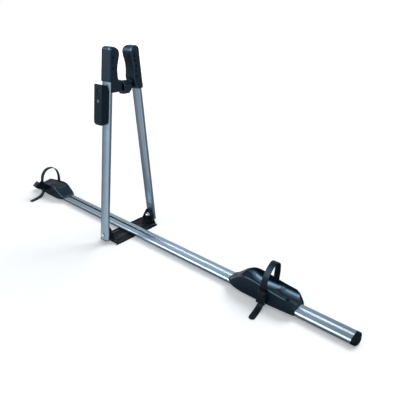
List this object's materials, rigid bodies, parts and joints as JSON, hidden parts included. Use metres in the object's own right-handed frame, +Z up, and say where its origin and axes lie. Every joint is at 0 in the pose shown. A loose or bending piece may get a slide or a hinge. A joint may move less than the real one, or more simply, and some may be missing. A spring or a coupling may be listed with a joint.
{
  "type": "roof mounted bike carrier",
  "caption": "Carrier for a bicycle on a roof bar: slotted rail, folding arms with clamping jaws for the down tube, cam lever, and sliding wheel trays with straps.",
  "frame": {"origin": "midway between the bracket's two roof bar bolt holes, on the underside of the bracket's pads", "axes": "+X along the rail to its long end, +Y across the rail from the left arm to the right arm, +Z up"},
  "size_m": [1.4356, 0.2478, 0.6397],
  "materials": {
    "extrusion": "clear anodised, satin",
    "coated_steel": "black powder coat",
    "zinc_steel": "zinc plated",
    "chrome_steel": "bright plated",
    "moulding": "black, semi-gloss",
    "plain_plastic": "black, fine grain",
    "soft_rubber": "black, matt",
    "brass_insert": "turned"
  },
  "bodies": {
    "base": {"rail": "extrusion", "rail_cap_near": "plain_plastic", "rail_cap_far": "plain_plastic", "base_bracket": "coated_steel", "bar_pads": "soft_rubber", "rail_screws": "zinc_steel", "rail_slot_nuts": "zinc_steel", "pivot_bolts": "chrome_steel", "pivot_bushes": "plain_plastic", "pivot_washers": "zinc_steel", "pivot_nuts": "chrome_steel"},
    "left_upright": {"left_arm": "extrusion", "left_arm_plug": "plain_plastic", "left_jaw": "moulding", "left_jaw_pad": "soft_rubber", "left_jaw_screws": "zinc_steel", "cam_plate": "plain_plastic", "lock_keeper": "zinc_steel"},
    "right_upright": {"right_arm": "extrusion", "right_arm_plug": "plain_plastic", "right_jaw": "moulding", "right_jaw_pad": "soft_rubber", "right_jaw_screws": "zinc_steel"},
    "rod": {"clamp_rod": "zinc_steel", "cross_pin": "zinc_steel", "rod_nut": "zinc_steel", "rod_washer": "zinc_steel"},
    "knob": {"adjusting_knob": "moulding", "knob_insert": "brass_insert"},
    "lever": {"clamp_lever": "moulding"},
    "lock": {"lock_cylinder": "chrome_steel", "lock_tongue": "zinc_steel"},
    "near_carriage": {"near_tray": "moulding", "near_tray_screws": "zinc_steel", "near_slot_nuts": "zinc_steel", "near_strap": "soft_rubber", "near_strap_rivet": "zinc_steel", "near_buckle": "plain_plastic", "near_buckle_pin": "zinc_steel"},
    "far_carriage": {"far_tray": "moulding", "far_tray_screws": "zinc_steel", "far_slot_nuts": "zinc_steel", "far_strap": "soft_rubber", "far_strap_rivet": "zinc_steel", "far_buckle": "plain_plastic", "far_buckle_pin": "zinc_steel"},
    "near_catch": {"near_buckle_lever": "moulding"},
    "far_catch": {"far_buckle_lever": "moulding"}
  },
  "joints": [
    {"name": "arms_fold", "type": "hinge", "parent": "base", "child": "left_upright", "pos_m": [0, 0, 0.032], "axis": [0, 1, 0], "range_deg": [-72, 72]},
    {"name": "right_arm_swing", "type": "hinge", "parent": "left_upright", "child": "right_upright", "pos_m": [0, 0.111, 0.032], "axis": [-1, 0, 0], "range_deg": [0, 0.4735]},
    {"name": "rod_slide", "type": "slide", "parent": "left_upright", "child": "rod", "axis": [0, 1, 0], "range_m": [0, 0.004]},
    {"name": "knob_spin", "type": "hinge", "parent": "rod", "child": "knob", "pos_m": [0, 0, 0.516], "axis": [0, 1, 0], "continuous": true},
    {"name": "lever_turn", "type": "hinge", "parent": "rod", "child": "lever", "pos_m": [0, -0.0855, 0.516], "axis": [-1, 0, 0], "range_deg": [0, 60]},
    {"name": "lock_turn", "type": "hinge", "parent": "lever", "child": "lock", "pos_m": [0, -0.0923, 0.48555], "axis": [0, -0.9942, 0.1071], "range_deg": [0, 90]},
    {"name": "near_tray_slide", "type": "slide", "parent": "base", "child": "near_carriage", "axis": [1, 0, 0], "range_m": [-0.25, 0.14]},
    {"name": "far_tray_slide", "type": "slide", "parent": "base", "child": "far_carriage", "axis": [1, 0, 0], "range_m": [0, 0.2]},
    {"name": "near_catch_turn", "type": "hinge", "parent": "near_carriage", "child": "near_catch", "pos_m": [0.584, -0.044, 0.018], "axis": [1, 0, 0], "range_deg": [0, 70]},
    {"name": "far_catch_turn", "type": "hinge", "parent": "far_carriage", "child": "far_catch", "pos_m": [-0.502, -0.0502, 0.036], "axis": [1, 0, 0], "range_deg": [-20, 30]}
  ],
  "couplings": [
    {"joint": "rod_slide", "follows": "lever_turn", "m_per_rad": 0.0038197},
    {"joint": "right_arm_swing", "follows": "lever_turn", "ratio": 0.0078917}
  ]
}
